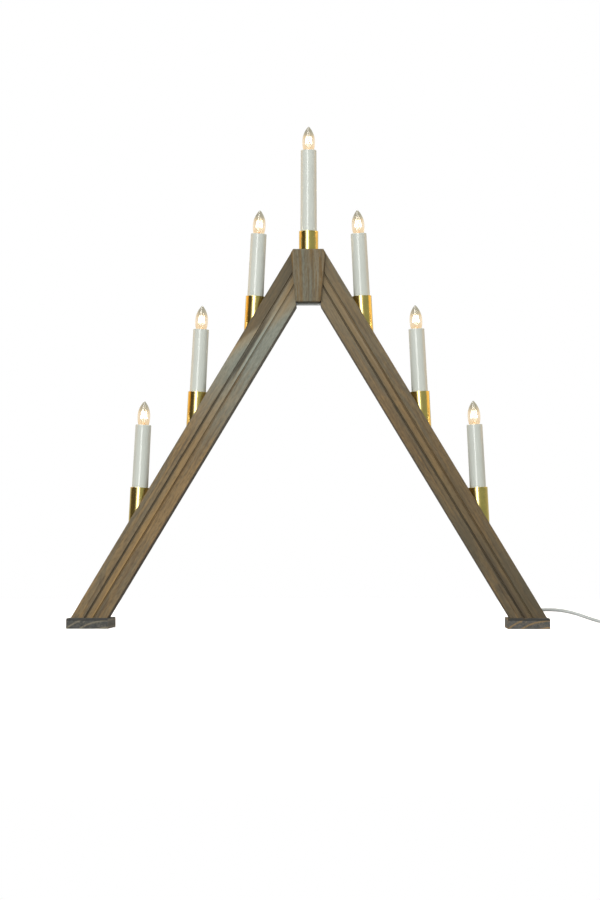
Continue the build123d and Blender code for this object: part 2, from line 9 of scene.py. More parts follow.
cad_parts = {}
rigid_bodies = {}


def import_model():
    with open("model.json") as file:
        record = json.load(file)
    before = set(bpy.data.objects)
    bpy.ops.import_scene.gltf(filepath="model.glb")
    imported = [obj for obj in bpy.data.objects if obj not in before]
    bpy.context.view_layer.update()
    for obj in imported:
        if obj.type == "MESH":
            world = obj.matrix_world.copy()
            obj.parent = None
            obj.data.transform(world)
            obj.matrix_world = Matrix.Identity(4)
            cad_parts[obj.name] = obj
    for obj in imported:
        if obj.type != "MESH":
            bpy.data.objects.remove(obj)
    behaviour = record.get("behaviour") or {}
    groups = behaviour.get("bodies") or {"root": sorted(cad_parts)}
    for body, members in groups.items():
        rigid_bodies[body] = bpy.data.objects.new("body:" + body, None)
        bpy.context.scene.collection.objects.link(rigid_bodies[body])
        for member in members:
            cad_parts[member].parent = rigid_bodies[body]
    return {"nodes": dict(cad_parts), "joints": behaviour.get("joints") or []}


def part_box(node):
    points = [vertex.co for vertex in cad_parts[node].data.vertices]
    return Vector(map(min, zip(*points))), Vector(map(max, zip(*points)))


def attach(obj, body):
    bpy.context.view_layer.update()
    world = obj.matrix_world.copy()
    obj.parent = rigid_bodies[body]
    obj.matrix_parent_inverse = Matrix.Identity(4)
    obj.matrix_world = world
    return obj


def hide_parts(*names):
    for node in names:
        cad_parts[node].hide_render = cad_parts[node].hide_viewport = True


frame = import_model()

bl_info = {
    "name": "Candle arch",
    "version": (1, 0, 0),
    "blender": (4, 5, 0),
    "location": "3D View > Sidebar > Candle arch",
    "description": "Finishes an electric candle arch of stained wood, brass and glass",
    "category": "Object",
}

MM = 0.001
SHARP_EDGE = radians(28.0)
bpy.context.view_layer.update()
ARCH = frame["joints"][0]["parent"]


class Seat:
    """A candle's place: the sleeve's rim is the origin and the candle's axis is Z."""

    def __init__(self, joint):
        self.bulb = joint["child"]
        self.name = self.bulb.removeprefix("bulb_")
        axis = Vector(joint["axis"]).normalized()
        depth = Vector((0, 1, 0))
        across = depth.cross(axis)
        self.matrix = Matrix((across, depth, axis)).transposed().to_4x4()
        self.matrix.translation = Vector(joint["pos_m"])

    def profile(self, node):
        """Radius and height about the seat's axis of every corner of a CAD node."""
        to_seat = self.matrix.inverted()
        corners = [to_seat @ vertex.co for vertex in frame["nodes"][node].data.vertices]
        return [(hypot(corner.x, corner.y), corner.z) for corner in corners]

    def ends(self, node):
        """Lowest and highest point of a CAD node along the seat's axis."""
        heights = [height for _, height in self.profile(node)]
        return min(heights), max(heights)


SEATS = [Seat(joint) for joint in frame["joints"]]
SEAT_BY_NAME = {seat.name: seat for seat in SEATS}
LOW_RIM = SEAT_BY_NAME["right_low"].matrix.translation
HIGH_RIM = SEAT_BY_NAME["right_high"].matrix.translation
LEG_LEAN = atan2(LOW_RIM.x - HIGH_RIM.x, HIGH_RIM.z - LOW_RIM.z)


# Sizes and colours that a user would change


def length(name, description, millimetres):
    """Length property with its default given in millimetres."""
    return FloatProperty(
        name=name, description=description, default=millimetres * MM, min=0.0, precision=5, unit="LENGTH"
    )


def count(name, description, default, least):
    """Property for a whole number that has a least value."""
    return IntProperty(name=name, description=description, default=default, min=least)


def colour(name, description, red, green, blue):
    """Colour property with a linear default."""
    return FloatVectorProperty(
        name=name,
        description=description,
        default=(red, green, blue, 1.0),
        size=4,
        min=0.0,
        max=1.0,
        subtype="COLOR",
    )


class CandleArchSizes(bpy.types.PropertyGroup):
    """Sizes of the finish, beside those that come from the frame."""

    leg_width: length("Leg width", "Width of a leg across its front", 34.0)
    bead_width: length("Bead width", "Distance between the two grooves of a leg", 7.9)
    groove_width: length("Groove width", "Width of each half-round groove", 2.4)
    cutter_beat: length("Cutter beat", "Pitch of the marks that the cutter left beside the bead", 1.5)
    foot_chamfer: length("Foot chamfer", "Chamfer along the front and the back of the feet", 2.0)
    sleeve_wall: length("Sleeve wall", "Thickness of the brass sleeves", 0.8)
    sleeve_round: length("Sleeve rounding", "Rounding of the sleeves' rims", 0.35)
    candle_wall: length("Candle wall", "Thickness of the candle tubes", 1.2)
    candle_round: length("Candle rounding", "Rounding of the candles' upper rims", 0.7)
    candle_mouth: length("Candle mouth", "Diameter of the opening round the bulb", 12.0)
    candle_lip: length("Candle lip", "Height of the lip round the bulb", 1.5)
    glass_wall: length("Glass wall", "Thickness of the bulbs", 0.45)
    glass_foot: length("Glass foot", "Thickness of the bulbs' foot", 1.0)
    glass_tip: length("Glass tip", "Radius of the bulbs' drawn tip", 1.2)
    thread_pitch: length("Thread pitch", "Rise of the bulb's screw in one turn", 1.81)
    thread_turns: FloatProperty(name="Thread turns", description="Turns of the bulb's screw", default=3.75)
    thread_wire: length("Thread height", "Radius of the rolled screw ridge", 0.5)
    filament_bends: count("Filament bends", "Bends of the glowing wire", 9, 3)
    filament_wire: length("Filament wire", "Radius of the glowing wire", 0.30)
    cord_diameter: length("Cord diameter", "Diameter of the mains lead", 3.6)
    relief_ribs: count("Relief ribs", "Ribs on the plug's bend relief", 9, 2)


class CandleArchColours(bpy.types.PropertyGroup):
    """Colours of the finish."""

    wood_dark: colour("Dark grain", "Stain in pores and dark streaks", 0.060, 0.051, 0.040)
    wood_cool: colour("Cool stain", "Grey tone of the stained legs", 0.186, 0.162, 0.110)
    wood_warm: colour("Warm stain", "Brown tone of the stained legs", 0.250, 0.172, 0.090)
    wood_ochre: colour("Worn stain", "Ochre tone where the stain is thin", 0.440, 0.280, 0.112)
    # Pale tone of the block's streaks, also the colour of the painted sheen and highlight on the legs' upper
    # ends
    wood_pale_and_sheen: colour("Pale stain", "Grey-green tone of the upper ends", 0.272, 0.296, 0.250)
    wood_olive: colour("Olive stain", "Olive grey of the key block", 0.168, 0.168, 0.125)
    foot_grey: colour("Foot stain", "Grey stain of the foot plates", 0.096, 0.098, 0.093)
    bare_wood: colour("Bare wood", "Unstained beech of the dowels", 0.560, 0.400, 0.240)
    brass: colour("Brass", "Polished brass of sleeves and shells", 0.775, 0.615, 0.245)
    candle: colour("Candle", "White of the candle tubes", 0.660, 0.695, 0.635)
    glass: colour("Glass", "Tint of the bulbs", 0.870, 0.880, 0.850)
    glass_tip: colour("Glass tip", "Smoky tip of the bulbs", 0.800, 0.795, 0.770)
    glow: colour("Glow", "Warm light of the bulbs", 1.000, 0.550, 0.220)
    halo: colour("Halo", "Peach light in the bulbs' belly", 1.000, 0.680, 0.480)
    # Painted glow of the filaments' stems, which the filament lights
    stem_glow: colour("Ember", "Orange light in the filaments' stems", 0.620, 0.210, 0.050)
    nickel: colour("Nickel", "Plated caps, pins and screws", 0.660, 0.640, 0.600)
    cord: colour("Cord", "White of the leads and the plug", 0.680, 0.715, 0.700)
    tie: colour("Tie", "Grey of the cord's tie", 0.240, 0.245, 0.250)
    floor: colour("Floor", "Pale floor of the stage", 0.900, 0.900, 0.895)


# Node trees


class Value:
    """Output of a node that can stand in sums like a number."""

    def __init__(self, nodes, socket):
        self.nodes = nodes
        self.socket = socket

    def math(self, operation, first, second=0.0):
        """Math node on this value."""
        return self.nodes.node("ShaderNodeMath", {"operation": operation}, {0: first, 1: second})

    def __add__(self, other):
        return self.math("ADD", self, other)

    def __radd__(self, other):
        return self.math("ADD", other, self)

    def __sub__(self, other):
        return self.math("SUBTRACT", self, other)

    def __rsub__(self, other):
        return self.math("SUBTRACT", other, self)

    def __mul__(self, other):
        return self.math("MULTIPLY", self, other)

    def __rmul__(self, other):
        return self.math("MULTIPLY", other, self)

    def __truediv__(self, other):
        return self.math("DIVIDE", self, other)

    def __mod__(self, other):
        return self.math("MODULO", self, other)

    def __pow__(self, other):
        return self.math("POWER", self, other)

    def __abs__(self):
        return self.math("ABSOLUTE", self)

    def fraction(self):
        """What is left after the whole number."""
        return self.math("FRACT", self)

    def rise(self, low, high):
        """Smooth step from nought at one value to one at another."""
        settings = {"interpolation_type": "SMOOTHSTEP"}
        return self.nodes.node("ShaderNodeMapRange", settings, {0: self, 1: low, 2: high})

    def between(self, start, full, fading, end):
        """Smooth step up between the first two values and down again between the last two."""
        return self.rise(start, full) * self.rise(end, fading)


class Nodes:
    """Node tree under construction."""

    def __init__(self, tree):
        self.tree = tree

    def node(self, kind, settings=None, inputs=None, output=0):
        """Add a node: first its settings, then the values or links of its sockets."""
        node = self.tree.nodes.new(kind)
        for name, setting in (settings or {}).items():
            if name == "stops":
                self.set_stops(node.color_ramp, setting)
            else:
                setattr(node, name, setting)
        for name, value in (inputs or {}).items():
            if isinstance(value, Value):
                self.tree.links.new(value.socket, node.inputs[name])
            else:
                node.inputs[name].default_value = value
        return Value(self, node.outputs[output])

    @staticmethod
    def set_stops(ramp, stops):
        """Give a colour ramp its stops of place and colour."""
        while len(ramp.elements) < len(stops):
            ramp.elements.new(0.5)
        for element, (place, tone) in zip(ramp.elements, stops):
            element.position = place
            element.color = tone

    def vector(self, x=0.0, y=0.0, z=0.0):
        """Vector from its three parts."""
        return self.node("ShaderNodeCombineXYZ", None, {0: x, 1: y, 2: z})


class Shading(Nodes):
    """Shader nodes of a material or of the room."""

    def split(self, vector):
        """The three parts of a vector."""
        node = self.node("ShaderNodeSeparateXYZ", None, {0: vector}).socket.node
        return [Value(self, socket) for socket in node.outputs]

    def noise(self, vector, scale=1.0, detail=3.0, roughness=0.55, distortion=0.0):
        """Soft random value round a half."""
        inputs = {
            "Vector": vector,
            "Scale": scale,
            "Detail": detail,
            "Roughness": roughness,
            "Distortion": distortion,
        }
        return self.node("ShaderNodeTexNoise", None, inputs)

    def grain(self, place, across, along, **options):
        """Soft random value that is drawn out along Z."""
        factors = (across, across, along)
        drawn = self.node("ShaderNodeVectorMath", {"operation": "MULTIPLY"}, {0: place, 1: factors})
        return self.noise(drawn, **options)

    def mix(self, factor, first, second):
        """Blend of two colours."""
        return self.node("ShaderNodeMix", {"data_type": "RGBA"}, {0: factor, 6: first, 7: second}, output=2)

    def coats(self, base, *layers):
        """Colours laid over a base one after the other, each with its share."""
        for share, tone in layers:
            base = self.mix(share, base, tone)
        return base

    def ramp(self, factor, *stops):
        """Colour from a value by stops of place and colour."""
        return self.node("ShaderNodeValToRGB", {"stops": stops}, {0: factor})

    def tones(self, factor, tone, *stops):
        """Darker and lighter tones of one colour by stops of place and share."""
        return self.ramp(factor, *[(place, shade(tone, share)) for place, share in stops])

    def ray(self, kind):
        """One for rays of a kind and nought for others."""
        return self.node("ShaderNodeLightPath", output=f"Is {kind} Ray")


class Finish(Shading):
    """Material under construction."""

    def __init__(self, name, **constants):
        self.material = bpy.data.materials.new(name)
        self.material.use_nodes = True
        super().__init__(self.material.node_tree)
        self.shader = self.tree.nodes["Principled BSDF"]
        for socket, value in constants.items():
            self.shader.inputs[socket.replace("_", " ").title().replace("Ior", "IOR")].default_value = value

    def feed(self, socket, value):
        """Link a varying value to the material's shader."""
        self.tree.links.new(value.socket, self.shader.inputs[socket])

    def object_place(self):
        """Place on the object in metres."""
        return self.node("ShaderNodeTexCoord", output="Object")

    def turned_place(self):
        """Turn and height on a turned piece, from its own map."""
        return self.node("ShaderNodeUVMap", {"uv_map": "Turned"})

    def local_place(self, origin, turn):
        """Place in millimetres about a point of the piece, with Z along its grain."""
        inputs = {"Vector": self.object_place(), "Location": origin, "Rotation": turn, "Scale": (MM, MM, MM)}
        return self.node("ShaderNodeMapping", {"vector_type": "TEXTURE"}, inputs)

    def bump(self, height, strength, distance):
        """Feed a height in parts of a distance to the shader's normal."""
        inputs = {"Height": height, "Strength": strength, "Distance": distance}
        self.feed("Normal", self.node("ShaderNodeBump", None, inputs))


def shade(tone, factor):
    """Colour made darker or lighter."""
    return tuple(part * factor for part in tone[:3]) + (1.0,)


def tint(red, green, blue):
    """Fixed colour that is no setting."""
    return (red, green, blue, 1.0)


BLACK = tint(0.0, 0.0, 0.0)
WHITE = tint(1.0, 1.0, 1.0)


# Materials


def stained_wood(name, origin, turn, tones, pith, ring_pitch, wander, ring_share=0.24, ring_start=0.35):
    """Stained softwood: cool and warm stain in long streaks, growth rings, fibres, flecks and pores."""
    cool, warm, dark, ring = tones
    wood = Finish(name, specular_ior_level=0.15)
    place = wood.local_place(origin, turn)
    across, through, _ = wood.split(place)
    sway = wood.grain(place, 0.020, 0.0060, detail=2.0) - 0.5
    distance = ((across - pith[0]) ** 2.0 + (through - pith[1]) ** 2.0) ** 0.5
    rings = ((distance + wander * sway) / ring_pitch).fraction()
    late_wood = rings.between(ring_start, 0.85, 0.9, 1.0)
    fibres = wood.grain(place, 0.95, 0.024, detail=5.0, roughness=0.65)
    streaks = wood.grain(place, 0.34, 0.0075, detail=4.0, roughness=0.6)
    warmth = wood.grain(place, 0.150, 0.0045, distortion=0.3)
    flecks = wood.grain(place, 0.80, 0.17, detail=4.0, roughness=0.7)
    pores = wood.grain(place, 2.6, 0.11, detail=2.0).rise(0.60, 0.72)
    stain = wood.coats(
        wood.mix(warmth.rise(0.34, 0.62), cool, warm),
        (0.48 * streaks.rise(0.50, 0.34), dark),
        (0.26 * streaks.rise(0.55, 0.66), ring),
        (ring_share * late_wood, ring),
        (0.44 * fibres.rise(0.50, 0.34), dark),
        (0.26 * fibres.rise(0.55, 0.70), ring),
        (0.46 * flecks.rise(0.49, 0.34), dark),
        (0.30 * flecks.rise(0.54, 0.68), ring),
        (0.40 * pores, shade(dark, 0.6)),
    )
    wood.bump(fibres - 0.5 * pores - 0.3 * late_wood, 0.35, 0.12 * MM)
    wood.feed("Roughness", 0.34 + 0.22 * fibres + 0.12 * pores)
    return wood, stain, place


# The second last argument scales the painted sheen, the bead's painted light and shade, and the wedge
def leg_wood(name, side, colours, sizes, depth, painted_light_share, soak):
    """Stained leg: painted light and shade on the bead, grooves dark with stain and painted shade, cutter
    marks, a painted sheen, a wedge, painted shade on the inner face and a soaked foot.
    """
    low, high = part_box(name)
    outer_x = low.x if side < 0 else high.x
    origin = (outer_x - side * sizes.leg_width / 2 / cos(LEG_LEAN), 0.0, low.z)
    dark = colours.wood_dark
    cool = colours.wood_cool
    ochre = colours.wood_ochre
    pale = colours.wood_pale_and_sheen
    tones = [shade(stain, depth) for stain in (cool, colours.wood_warm, dark, ochre)]
    turn = (0.0, -side * LEG_LEAN, 0.0)
    wood, stain, place = stained_wood(name, origin, turn, tones, (-20.0 * side, 64.0), 4.6, 26.0)
    # Distances are in millimetres: across the leg, through its depth and along it from its foot
    across, through, along = wood.split(place)
    outwards = side * across
    front_y = low.y / MM
    half_leg = sizes.leg_width / 2 / MM
    half_bead = sizes.bead_width / 2 / MM
    half_groove = sizes.groove_width / 2 / MM
    patches = wood.grain(place, 0.16, 0.012, detail=4.0)
    mottle = wood.grain(place, 0.9, 0.2, detail=4.0, roughness=0.7)
    front = through.rise(front_y + 1.8, front_y + 0.6)
    groove = front * abs(abs(across) - half_bead).rise(half_groove + 0.25, half_groove - 0.55)
    bead = front * abs(across).rise(half_bead, half_bead - half_groove)
    # Painted highlight: ochre along the lit right edge of the bead on the lower leg
    bead_highlight = painted_light_share * bead * across.rise(0.9, 1.9) * along.rise(200.0, 90.0)
    slant = along + 2.5 * outwards
    wedge = slant.rise(366.0, 380.0) * outwards.rise(half_bead, half_bead + 1.0)
    off_wedge = 1.0 - wedge
    wedge_rim = slant.rise(340.0, 366.0) * off_wedge
    # Painted sheen: a pale grey-green stretch on the upper leg stands in for a reflection
    sheen_stretch = along.between(200.0, 330.0, 405.0, 450.0) * patches.rise(0.26, 0.54) * off_wedge
    sheen_tone = wood.tones(mottle, pale, (0.36, 0.76), (0.64, 1.12))
    # Painted light and shade on the bead's middle stretch: a pale lit half and a dark shaded half
    bead_light_and_shade = painted_light_share * front * along.between(276.0, 316.0, 346.0, 404.0) * bead
    # Painted shade on the leg's inner face, which faces down
    inner_face_shade = outwards.rise(1.3 - half_leg, 0.4 - half_leg)
    foot_soak = along.rise(250.0, 60.0) * patches.rise(0.40, 0.58)
    apex = (1.0 - soak) * along.rise(365.0, 430.0)
    beside_bead = front * abs(across + 2.6).rise(3.6, 1.2) * along.rise(150.0, 50.0)
    beats = (along / (sizes.cutter_beat / MM)).fraction().rise(0.35, 0.65)
    worn_cutter = along.between(110.0, 170.0, 260.0, 330.0)
    chatter = front * beats * worn_cutter * abs(across + half_bead + half_groove).rise(1.5, 0.7)
    stain = wood.coats(
        stain,
        (0.30 * bead, shade(ochre, depth)),
        (0.70 * bead_highlight, ochre),
        (painted_light_share * sheen_stretch, sheen_tone),
        (0.35 * soak * along.rise(300.0, 420.0), shade(cool, 1.7)),
        (0.35 * painted_light_share * wedge_rim, ochre),
        (0.75 * painted_light_share * wedge, shade(cool, 0.45)),
        (bead_light_and_shade * across.rise(0.0, 1.6), shade(pale, 1.15)),
        (bead_light_and_shade * across.rise(0.6, -0.8), shade(dark, 0.7)),
        (0.75 * inner_face_shade, dark),
        (soak * foot_soak, shade(cool, 0.55)),
        (0.45 * apex, shade(cool, 0.50)),
        (soak * beside_bead, dark),
        # Grooves: pooled stain and painted shade, with more painted shade in the groove on the side away from
        # the light
        (0.58 * groove, shade(ochre, 0.20)),
        (0.70 * groove * across.rise(1.0, -1.0), shade(dark, 0.7)),
        (0.45 * chatter, dark),
    )
    wood.feed("Base Color", stain)
    return wood.material


def block_wood(colours):
    """Key block with upright grain and pale streaks."""
    low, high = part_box("key_block")
    origin = ((low.x + high.x) / 2, 0.0, low.z)
    pale = colours.wood_pale_and_sheen
    tones = (colours.wood_olive, shade(colours.wood_ochre, 0.43), colours.wood_dark, shade(pale, 0.98))
    wood, stain, _ = stained_wood("key_block", origin, (0.0, 0.0, 0.0), tones, (42.0, 38.0), 3.4, 16.0)
    wood.feed("Base Color", stain)
    return wood.material


def foot_wood(name, colours, sizes, depth, rings):
    """Grey foot plate whose grain runs from front to back: rings show on its ends, painted shade darkens the
    chamfer and the top.
    """
    low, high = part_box(name)
    origin = ((low.x + high.x) / 2, 0.0, low.z)
    grey = shade(colours.foot_grey, depth)
    tones = (grey, shade(grey, 0.8), shade(grey, 0.4), rings)
    turn = (-pi / 2, 0.0, 0.0)
    wood, stain, _ = stained_wood(name, origin, turn, tones, (24.0, 58.0), 7.6, 6.0, 0.62, 0.64)
    _, back, height = wood.split(wood.object_place())
    reach = (abs(back) + height) / MM
    bevel_reach = (high.y + high.z - sizes.foot_chamfer) / MM
    # Painted shade: the chamfer and the top face, which face up, are darkened
    chamfer_shade = reach.rise(bevel_reach - 0.6, bevel_reach - 0.1)
    top = height.rise(high.z - 0.3 * MM, high.z - 0.05 * MM)
    stain = wood.mix(0.90 * chamfer_shade + 0.65 * top, stain, shade(grey, 0.18))
    wood.feed("Base Color", stain)
    return wood.material


def plain_wood(colours):
    """Bare beech with short flecks, for the dowels."""
    bare = colours.bare_wood
    tones = (bare, shade(bare, 0.85), shade(bare, 0.5), shade(bare, 1.2))
    turn = (0.0, pi / 2, 0.0)
    wood, stain, _ = stained_wood("dowel_beech", (0.0, 0.0, 0.35), turn, tones, (0.0, 40.0), 2.2, 8.0)
    wood.feed("Base Color", stain)
    return wood.material


def polished_brass(colours):
    """Brass with fine turning lines and a breath of tarnish."""
    brass = Finish("polished_brass", metallic=1.0)
    height = brass.split(brass.turned_place())[1]
    lines = brass.noise(brass.vector(z=height), scale=5.0, detail=4.0)
    tarnish = brass.noise(brass.object_place(), scale=160.0, detail=4.0)
    tone = brass.tones(0.35 * lines + 0.65 * tarnish, colours.brass, (0.35, 0.90), (0.62, 1.04))
    brass.feed("Base Color", tone)
    brass.feed("Roughness", 0.13 + 0.06 * tarnish + 0.04 * lines)
    brass.bump(lines, 0.05, 0.004 * MM)
    return brass.material


def shell_brass(colours):
    """Dull rolled brass of the screw shells."""
    brass = Finish("shell_brass", metallic=1.0)
    grain = brass.noise(brass.object_place(), scale=420.0, detail=4.0)
    brass.feed("Base Color", brass.tones(grain, colours.brass, (0.3, 0.7), (0.7, 0.95)))
    brass.feed("Roughness", 0.28 + 0.2 * grain)
    return brass.material


def candle_white(colours):
    """Moulded white tube with a faint mottle under an uneven gloss."""
    white = Finish("candle_white", specular_ior_level=0.30, coat_roughness=0.03)
    place = white.object_place()
    mottle = white.grain(place, 1.0, 0.35, scale=130.0, detail=4.0)
    clouds = white.noise(place, scale=24.0, detail=2.0)
    tone = white.tones(0.5 * mottle + 0.5 * clouds, colours.candle, (0.30, 0.95), (0.65, 1.02))
    white.feed("Base Color", tone)
    white.feed("Roughness", 0.07 + 0.09 * mottle)
    white.feed("Coat Weight", 0.45 + 0.22 * clouds)
    white.bump(mottle, 0.05, 0.05 * MM)
    return white.material


def lit_glass(colours, height):
    """Clear glass with a painted glow of the filament's light in its belly, which stays grey at the tip."""
    glass = Finish("lit_glass", transmission_weight=1.0, ior=1.45, emission_strength=1.0)
    up = glass.split(glass.turned_place())[1] / (height / MM)
    seeds = glass.noise(glass.object_place(), scale=320.0, detail=2.0)
    level = up + 0.05 * (seeds - 0.5)
    # Painted glow: the glass emits the filament's light, warm at the foot and peach in the belly
    glow = glass.ramp(
        level,
        (0.00, shade(colours.glow, 0.13)),
        (0.24, shade(colours.glow, 0.13)),
        (0.36, shade(colours.halo, 0.13)),
        (0.52, shade(colours.halo, 0.12)),
        (0.62, shade(colours.glow, 0.09)),
        (0.70, shade(colours.glow, 0.04)),
        (0.80, shade(colours.glow, 0.008)),
    )
    glass.feed("Emission Color", glow)
    clear = glass.tones(seeds, colours.glass, (0.3, 0.96), (0.7, 1.0))
    glass.feed("Base Color", glass.mix(level.rise(0.60, 0.86), clear, colours.glass_tip))
    glass.feed("Roughness", 0.01 + 0.02 * seeds)
    return glass.material


def glowing_wire():
    """White-hot filament whose heat varies a little."""
    wire = Finish("glowing_wire", emission_strength=12.0, roughness=0.5)
    heat = wire.noise(wire.object_place(), scale=900.0, detail=1.0)
    light = wire.ramp(heat, (0.3, tint(1.0, 0.78, 0.48)), (0.6, tint(1.0, 0.90, 0.72)))
    wire.feed("Emission Color", light)
    wire.feed("Base Color", wire.ramp(heat, (0.3, tint(0.10, 0.09, 0.08)), (0.7, tint(0.16, 0.15, 0.14))))
    return wire.material


def stem_glass(colours):
    """Milky glass of the filament's stem, with a painted orange glow for the light from above."""
    stem = Finish("stem_glass", transmission_weight=0.2, ior=1.5, emission_strength=0.7)
    cloud = stem.noise(stem.object_place(), scale=700.0, detail=2.0)
    stem.feed("Base Color", stem.tones(cloud, colours.glass, (0.3, 0.9), (0.7, 1.0)))
    stem.feed("Emission Color", stem.tones(cloud, colours.stem_glow, (0.3, 0.7), (0.7, 1.0)))
    stem.feed("Roughness", 0.15 + 0.2 * cloud)
    return stem.material


def plated_metal(name, tone, roughness):
    """Nickel or zinc with fine scratches and small stains."""
    metal = Finish(name, metallic=1.0)
    place = metal.object_place()
    scratches = metal.grain(place, 1.0, 0.12, scale=1500.0)
    stains = metal.noise(place, scale=260.0, detail=4.0)
    metal.feed("Base Color", metal.tones(stains, tone, (0.3, 0.8), (0.65, 1.05)))
    metal.feed("Roughness", roughness + 0.18 * scratches)
    metal.bump(scratches, 0.05, 0.03 * MM)
    return metal.material


def moulded_plastic(name, tone, roughness, grain_scale):
    """Moulded plastic with a fine grain and slightly uneven colour."""
    plastic = Finish(name, specular_ior_level=0.45)
    place = plastic.object_place()
    grain = plastic.noise(place, scale=grain_scale)
    dust = plastic.noise(place, scale=70.0, detail=4.0)
    plastic.feed("Base Color", plastic.tones(dust, tone, (0.32, 0.88), (0.62, 1.0)))
    plastic.feed("Roughness", roughness + 0.16 * dust)
    plastic.bump(grain, 0.10, 0.06 * MM)
    return plastic.material


# Meshes


def arc(centre, radius, start, end, steps):
    """Points of radius and height on a round stretch between two angles in radians."""
    angles = [start + (end - start) * step / steps for step in range(steps + 1)]
    return [(centre[0] + radius * cos(angle), centre[1] + radius * sin(angle)) for angle in angles]


def wall(start, end):
    """Straight stretch of an outline: two more points close to its ends keep its shading straight."""
    share = 0.25 * MM / hypot(end[0] - start[0], end[1] - start[1])
    shares = (0.0, share, 1.0 - share, 1.0)
    return [tuple(a + (b - a) * part for a, b in zip(start, end)) for part in shares]


def turned_mesh(name, outline, closed, matrix, segments=96):
    """Mesh turned from points of radius and height, up the outside first, with its own map."""
    bm = bmesh.new()
    turned = bm.loops.layers.uv.new("Turned")
    foot = min(height for _, height in outline)
    rings = []
    for radius, height in outline:
        if radius < 1e-7:
            rings.append([bm.verts.new((0.0, 0.0, height))] * segments)
            continue
        angles = [tau * step / segments for step in range(segments)]
        rings.append([bm.verts.new((radius * cos(a), radius * sin(a), height)) for a in angles])
    pairs = list(zip(rings, rings[1:]))
    if closed:
        pairs.append((rings[-1], rings[0]))
    for below, above in pairs:
        if below[0] is below[1] and above[0] is above[1]:
            continue
        for step in range(segments):
            after = (step + 1) % segments
            corners = []
            for vertex, turn in (
                (below[step], step),
                (below[after], step + 1),
                (above[after], step + 1),
                (above[step], step),
            ):
                if vertex not in [corner for corner, _ in corners]:
                    corners.append((vertex, turn))
            face = bm.faces.new([vertex for vertex, _ in corners])
            face.smooth = True
            for loop, (vertex, turn) in zip(face.loops, corners):
                loop[turned].uv = (turn / segments, (vertex.co.z - foot) / MM)
    for edge in bm.edges:
        edge.smooth = edge.calc_face_angle(0.0) < SHARP_EDGE
    bmesh.ops.transform(bm, matrix=matrix, verts=bm.verts)
    mesh = bpy.data.meshes.new(name)
    bm.to_mesh(mesh)
    bm.free()
    return mesh


def joined(name, *meshes):
    """One mesh made of several, each keeping its material."""
    materials = []
    bm = bmesh.new()
    for mesh in meshes:
        first = len(bm.faces)
        bm.from_mesh(mesh)
        bm.faces.ensure_lookup_table()
        material = mesh.materials[0]
        if material not in materials:
            materials.append(material)
        for face in bm.faces[first:]:
            face.material_index = materials.index(material)
    result = bpy.data.meshes.new(name)
    for material in materials:
        result.materials.append(material)
    bm.to_mesh(result)
    bm.free()
    for mesh in meshes:
        bpy.data.meshes.remove(mesh)
    return result


def painted(mesh, material):
    """Mesh with its one material."""
    mesh.materials.append(material)
    return mesh


def add_piece(name, data, body, slot, *replaced):
    """Object for a finished mesh or curve, riding on a body in place of CAD nodes."""
    piece = bpy.data.objects.new(name, data)
    bpy.context.scene.collection.objects.link(piece)
    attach(piece, body)
    if replaced:
        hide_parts(*replaced)
    return piece


def dress(material, *nodes):
    """Give CAD nodes a finish."""
    for node in nodes:
        for slot in frame["nodes"][node].material_slots:
            slot.material = material


class Recipe(Nodes):
    """Geometry Nodes tree under construction, with named inputs for its sizes."""

    def __init__(self, name, material, sizes):
        super().__init__(bpy.data.node_groups.new(name, "GeometryNodeTree"))
        self.tree.interface.new_socket("Geometry", in_out="OUTPUT", socket_type="NodeSocketGeometry")
        self.values = sizes
        self.identifiers = {}
        for size, value in sizes.items():
            kind = "NodeSocketInt" if isinstance(value, int) else "NodeSocketFloat"
            socket = self.tree.interface.new_socket(size, in_out="INPUT", socket_type=kind)
            self.identifiers[size] = socket.identifier
        self.inputs = self.tree.nodes.new("NodeGroupInput")
        self.material = material

    def size(self, name):
        """Value of a named input."""
        return Value(self, self.inputs.outputs[name])

    def row(self, count, offset):
        """Points in a row."""
        return self.node("GeometryNodeMeshLine", None, {"Count": self.size(count), "Offset": offset})

    def tube(self, curve, radius, corners, caps):
        """Round tube along a curve, with a named radius."""
        circle = {"Resolution": corners, "Radius": self.size(radius)}
        section = self.node("GeometryNodeCurvePrimitiveCircle", None, circle)
        inputs = {"Curve": curve, "Profile Curve": section, "Fill Caps": caps}
        return self.node("GeometryNodeCurveToMesh", None, inputs)

    def mesh(self, name, geometry, matrix):
        """Finish the tree, evaluate it once and return the result as a plain mesh at its place."""
        smooth = self.node("GeometryNodeSetShadeSmooth", None, {"Geometry": geometry})
        real = self.node("GeometryNodeRealizeInstances", None, {"Geometry": smooth})
        finished = self.node("GeometryNodeSetMaterial", None, {"Geometry": real, "Material": self.material})
        output = self.tree.nodes.new("NodeGroupOutput")
        self.tree.links.new(finished.socket, output.inputs["Geometry"])
        maker = bpy.data.objects.new(name, bpy.data.meshes.new(name))
        bpy.context.scene.collection.objects.link(maker)
        modifier = maker.modifiers.new(name, "NODES")
        modifier.node_group = self.tree
        for size, identifier in self.identifiers.items():
            modifier[identifier] = self.values[size]
        evaluated = maker.evaluated_get(bpy.context.evaluated_depsgraph_get())
        mesh = bpy.data.meshes.new_from_object(evaluated)
        maker.modifiers.remove(modifier)
        bpy.data.objects.remove(maker)
        bpy.data.node_groups.remove(self.tree)
        mesh.transform(matrix)
        if self.material.name not in [m.name for m in mesh.materials if m]:
            mesh.materials.clear()
            mesh.materials.append(self.material)
        return mesh


